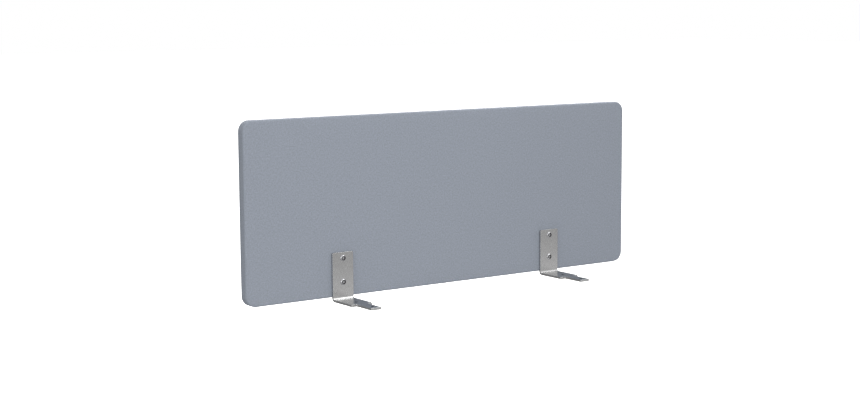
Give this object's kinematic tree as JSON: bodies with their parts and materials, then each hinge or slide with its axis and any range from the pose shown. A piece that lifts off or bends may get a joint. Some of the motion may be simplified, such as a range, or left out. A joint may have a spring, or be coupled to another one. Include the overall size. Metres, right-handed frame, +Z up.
{
  "type": "desk privacy panel",
  "caption": "Low fabric-covered privacy panel with rounded corners, held at a desk's edge by steel angle brackets with stepped, drilled feet.",
  "frame": {"origin": "centre of the pattern of the four desk screw holes, on the top face of the two feet", "axes": "+X along the panel's width, +Y from the feet's tips towards the panel, +Z up along the desk screws, towards the desktop that rests on the feet"},
  "size_m": [0.8, 0.123, 0.307],
  "materials": {
    "cover_fabric": "plain-woven polyester, grey-blue, matt",
    "seam_thread": "sewing thread, darker grey-blue",
    "closing_tape": "woven tape, grey-blue, matt",
    "foam": "open-cell polyurethane foam, cream",
    "board": "medium-density fibreboard, raw",
    "bracket_steel": "satin nickel plate on bent steel",
    "screw_steel": "bright zinc-plated steel",
    "staple_steel": "galvanised wire",
    "insert_brass": "turned brass"
  },
  "bodies": {
    "root": {"core_board": "board", "front_foam": "foam", "back_foam": "foam", "front_cover": "cover_fabric", "back_cover": "cover_fabric", "seam_thread": "seam_thread", "staples": "staple_steel", "closing_tape": "closing_tape", "insert_left_lower": "insert_brass", "insert_left_upper": "insert_brass", "insert_right_lower": "insert_brass", "insert_right_upper": "insert_brass", "left_bracket": "bracket_steel", "right_bracket": "bracket_steel", "screw_left_lower": "screw_steel", "screw_left_upper": "screw_steel", "screw_right_lower": "screw_steel", "screw_right_upper": "screw_steel"}
  },
  "joints": []
}
